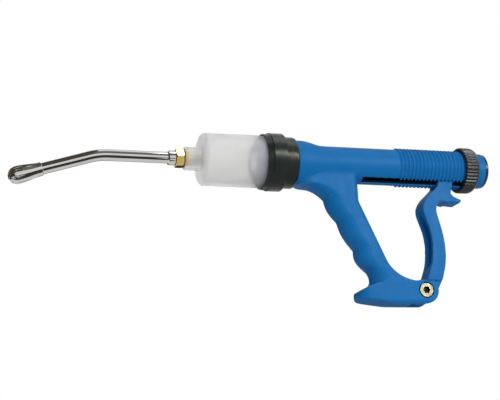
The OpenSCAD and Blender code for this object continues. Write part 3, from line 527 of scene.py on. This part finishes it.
def place_cards():
    """The dark and bright zones that the photo's metal and plastic mirror."""
    brown = card_material("card_brown", (1.0, 0.84, 0.66), 0.09)
    grey = card_material("card_grey", (1.0, 0.98, 0.95), 0.20)
    black = card_material("card_black", (1.0, 0.97, 0.92), 0.05)
    shade = card_material("card_shade", (0.9, 0.95, 1.0), 0.35)
    warm = card_material("card_warm", (1.0, 0.95, 0.60), 20.0)
    bright = card_material("card_bright", (1.0, 1.0, 1.0), 21.0)
    soft = card_material("card_soft", (0.92, 1.0, 1.0), 3.0)
    white = card_material("card_white", (0.95, 0.98, 1.0), 9.0)
    front, rear, left, roof = CARD_FRONT_Y, CARD_REAR_Y, CARD_LEFT_X, CARD_ROOF_Z
    upright_card("card_front", front, -0.18, 0.085, 0.34, roof, grey, 0.09)
    upright_card("card_front_left", front, -0.50, -0.18, 0.34, roof, brown)
    upright_card("card_front_far", front, left, -0.50, 0.0, roof, brown)
    flat_card("card_roof", roof, left, -0.14, front, rear, brown)
    card("card_left", [(left, front, 0.0), (left, rear, 0.0), (left, rear, roof), (left, front, roof)], brown)
    flat_card("card_low", CARD_LOW_Z, -0.42, -0.138, -0.19, -0.045, black)
    flat_card("card_low_front", CARD_LOW_Z, -0.19, -0.10, -0.36, -0.19, black)
    # card_foot is a painted shadow under the foot, which only reflections see
    flat_card("card_foot", CARD_FOOT_Z, -0.04, 0.06, -0.03, 0.06, shade)
    upright_card("card_behind", CARD_BEHIND_Y, -0.22, -0.02, 0.02, 0.40, black)
    flat_card("card_low_behind", CARD_LOW_Z, -0.40, -0.06, 0.20, 0.80, black)
    flat_card("card_low_left", CARD_LOW_Z, left, -0.42, front, 0.3, black)
    upright_card("card_ring", front, 0.09, 0.16, 0.27, 0.46, warm)
    upright_card("card_sides", front, 0.17, 0.60, 0.20, 0.45, bright)
    flat_card("card_hexagon", 1.3, 0.08, 0.18, -0.48, -0.26, white)
    flat_card("card_above", 1.5, 0.24, 0.70, front, 0.2, soft)


def lamp(name, place, width, height, power, colour):
    """A soft area lamp that reflections don't see, because the cards serve them."""
    data = bpy.data.lights.new(name, "AREA")
    data.shape = "RECTANGLE"
    data.size = width
    data.size_y = height
    data.energy = power
    data.color = colour
    made = bpy.data.objects.new(name, data)
    scene.collection.objects.link(made)
    made.location = place
    made.rotation_mode = "QUATERNION"
    made.rotation_quaternion = (Vector(LAMP_AIM) - Vector(place)).to_track_quat("-Z", "Y")
    made.visible_glossy = False


def background(tree, colour, strength):
    made = tree.nodes.new("ShaderNodeBackground")
    made.inputs["Color"].default_value = colour
    made.inputs["Strength"].default_value = strength
    return made.outputs[0]


def make_world():
    """A soft fill for the object, and white where camera, metal and frosted plastic see the background."""
    world = bpy.data.worlds.new("world")
    scene.world = world
    world.use_nodes = True
    tree = world.node_tree
    tree.nodes.clear()
    rays = tree.nodes.new("ShaderNodeLightPath").outputs
    seen = maths(tree, "MAXIMUM", rays["Is Camera Ray"], rays["Is Glossy Ray"])
    seen = maths(tree, "MAXIMUM", seen, rays["Is Transmission Ray"])
    fill = background(tree, FILL_COLOUR, FILL_STRENGTH)
    white = background(tree, BACKGROUND_COLOUR, BACKGROUND_STRENGTH)
    out = tree.nodes.new("ShaderNodeOutputWorld")
    tree.links.new(mix_shaders(tree, seen, fill, white), out.inputs["Surface"])


place_camera()
make_floor()
place_cards()
lamp("key", (0.08, -1.7, 0.40), width=1.6, height=0.6, power=20.0, colour=(1.0, 0.965, 0.91))
lamp("top", (0.15, -0.40, 1.3), width=0.6, height=0.45, power=3.9, colour=(0.96, 0.98, 1.0))
make_world()
scene.view_settings.view_transform = "Standard"

blue = moulded("blue_moulded", *BLUE, BLUE_ROUGH, gloss=BLUE_GLOSS)
# The blue of the body, with painted shade inside the bore
blue_body = moulded("blue_body", *BLUE, BLUE_ROUGH, gloss=BLUE_GLOSS, bore=BORE_SHADE_R)
black = moulded("black_moulded", (0.007, 0.012, 0.011), (0.013, 0.020, 0.019), 0.24, grain=0.12, gloss=0.2)
nut_black = moulded("nut_black", (0.007, 0.010, 0.010), (0.013, 0.018, 0.018), 0.28, grain=0.03, gloss=0.36)
chrome = metal("chrome", *CHROME, CHROME_ROUGH, ALONG_X, CHROME_MARKS)
brass = metal("brass", (0.72, 0.50, 0.17), (0.62, 0.41, 0.12), (0.10, 0.22), ACROSS_X, 0.25)
screw_brass = socket_screw("screw_brass", (0.25, 0.225, 0.16), (0.20, 0.175, 0.12))
tip_chrome = metal("tip_chrome", *CHROME, CHROME_ROUGH, ALONG_X, CHROME_MARKS, drawn=TIP_POLISH,
                   turn=NOZZLE_BEND)
steel = metal("steel", (0.60, 0.60, 0.61), (0.48, 0.48, 0.49), (0.22, 0.38), EVEN, 0.15)
dark_steel = metal("dark_steel", (0.045, 0.045, 0.05), (0.03, 0.03, 0.033), (0.35, 0.5), EVEN, 0.15)
milky = frosted("frosted", (0.82, 0.82, 0.82), (0.88, 0.88, 0.875))
white = moulded("white_moulded", (0.76, 0.76, 0.74), (0.82, 0.82, 0.80), 0.45)
grey = moulded("piston_grey", (0.10, 0.16, 0.26), (0.14, 0.20, 0.31), 0.45)
seal = rubber("seal", (0.02, 0.02, 0.021))
washer = rubber("washer", (0.085, 0.070, 0.055))

# The looks of the record's material slots
looks = {
    "plated_metal": chrome,
    "brass": brass,
    "steel": steel,
    "spring_steel": dark_steel,
    "frosted_plastic": milky,
    "black_plastic": black,
    "blue_plastic": blue,
    "grey_plastic": grey,
    "white_plastic": white,
    "seal_rubber": seal,
}
for row in frame["record"]["subparts"]:
    dress(nodes[row["node"]], looks[row["material_slot"]])
dress(nodes["pivot_screw"], screw_brass)
dress(nodes["nozzle_tip"], tip_chrome)
dress(nodes["adaptor_washer"], washer)

# The pieces that stand in for CAD nodes
body = softened("body_moulding", "body", voxel=0.00042, rounds=4, triangles=160000, trim=bevel_strip,
                soft_box=TOE_BOX)
stand_in(body, "body", "frame", blue_body)
lever = softened("lever_moulding", "lever", voxel=0.00040, rounds=5, triangles=50000)
stand_in(lever, "lever", "lever", blue)
dose_nut = softened("dose_nut_moulding", "dose_nut", voxel=0.00032, rounds=3, triangles=50000)
stand_in(dose_nut, "dose_nut", "dose_nut", nut_black)
hexagon = turned("nozzle_hexagon", "nozzle_adaptor", HEXAGON_TURN)
stand_in(hexagon, "nozzle_adaptor", "frame", brass)
spring("return_coil", "return_spring", dark_steel)
spring("outlet_coil", "outlet_spring", steel)
